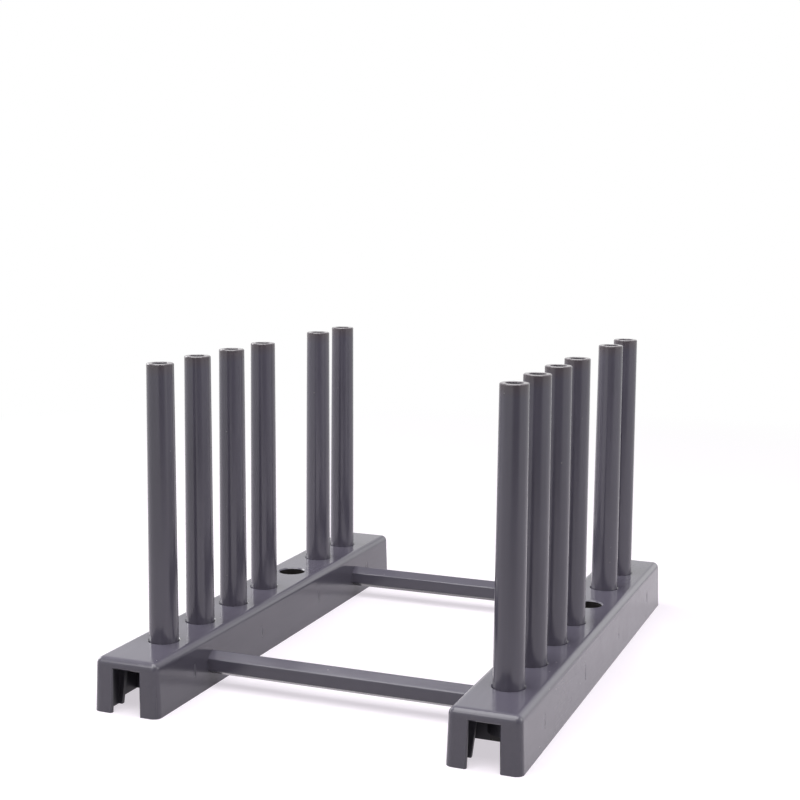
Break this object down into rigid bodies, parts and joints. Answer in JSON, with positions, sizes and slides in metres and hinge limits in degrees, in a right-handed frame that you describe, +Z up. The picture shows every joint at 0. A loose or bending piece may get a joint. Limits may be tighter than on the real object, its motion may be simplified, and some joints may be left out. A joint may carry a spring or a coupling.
{
  "type": "pot lid rack",
  "caption": "Low rack of moulded rails joined by hexagonal crossbars, with rows of removable tubular posts that hold pot lids on edge, and a wider gap for a thick lid.",
  "frame": {"origin": "on the floor, under the middle of the rack", "axes": "+X to the right across the rack, +Y from front to rear along the rails, +Z up"},
  "size_m": [0.17, 0.232, 0.131],
  "materials": {
    "rail": "glossy moulded",
    "crossbar": "glossy moulded",
    "post": "glossy moulded"
  },
  "bodies": {
    "rack": {"rail_left": "rail", "rail_right": "rail", "crossbar_front": "crossbar", "crossbar_rear": "crossbar"},
    "post_left_1": {"post_left_1": "post"},
    "post_left_2": {"post_left_2": "post"},
    "post_left_3": {"post_left_3": "post"},
    "post_left_4": {"post_left_4": "post"},
    "post_left_6": {"post_left_6": "post"},
    "post_left_7": {"post_left_7": "post"},
    "post_right_1": {"post_right_1": "post"},
    "post_right_2": {"post_right_2": "post"},
    "post_right_3": {"post_right_3": "post"},
    "post_right_4": {"post_right_4": "post"},
    "post_right_6": {"post_right_6": "post"},
    "post_right_7": {"post_right_7": "post"}
  },
  "joints": [
    {"name": "post_left_1_lift", "type": "slide", "parent": "rack", "child": "post_left_1", "axis": [0, 0, 1], "range_m": [0, 0.022]},
    {"name": "post_left_2_lift", "type": "slide", "parent": "rack", "child": "post_left_2", "axis": [0, 0, 1], "range_m": [0, 0.022]},
    {"name": "post_left_3_lift", "type": "slide", "parent": "rack", "child": "post_left_3", "axis": [0, 0, 1], "range_m": [0, 0.022]},
    {"name": "post_left_4_lift", "type": "slide", "parent": "rack", "child": "post_left_4", "axis": [0, 0, 1], "range_m": [0, 0.022]},
    {"name": "post_left_6_lift", "type": "slide", "parent": "rack", "child": "post_left_6", "axis": [0, 0, 1], "range_m": [0, 0.022]},
    {"name": "post_left_7_lift", "type": "slide", "parent": "rack", "child": "post_left_7", "axis": [0, 0, 1], "range_m": [0, 0.022]},
    {"name": "post_right_1_lift", "type": "slide", "parent": "rack", "child": "post_right_1", "axis": [0, 0, 1], "range_m": [0, 0.022]},
    {"name": "post_right_2_lift", "type": "slide", "parent": "rack", "child": "post_right_2", "axis": [0, 0, 1], "range_m": [0, 0.022]},
    {"name": "post_right_3_lift", "type": "slide", "parent": "rack", "child": "post_right_3", "axis": [0, 0, 1], "range_m": [0, 0.022]},
    {"name": "post_right_4_lift", "type": "slide", "parent": "rack", "child": "post_right_4", "axis": [0, 0, 1], "range_m": [0, 0.022]},
    {"name": "post_right_6_lift", "type": "slide", "parent": "rack", "child": "post_right_6", "axis": [0, 0, 1], "range_m": [0, 0.022]},
    {"name": "post_right_7_lift", "type": "slide", "parent": "rack", "child": "post_right_7", "axis": [0, 0, 1], "range_m": [0, 0.022]}
  ]
}
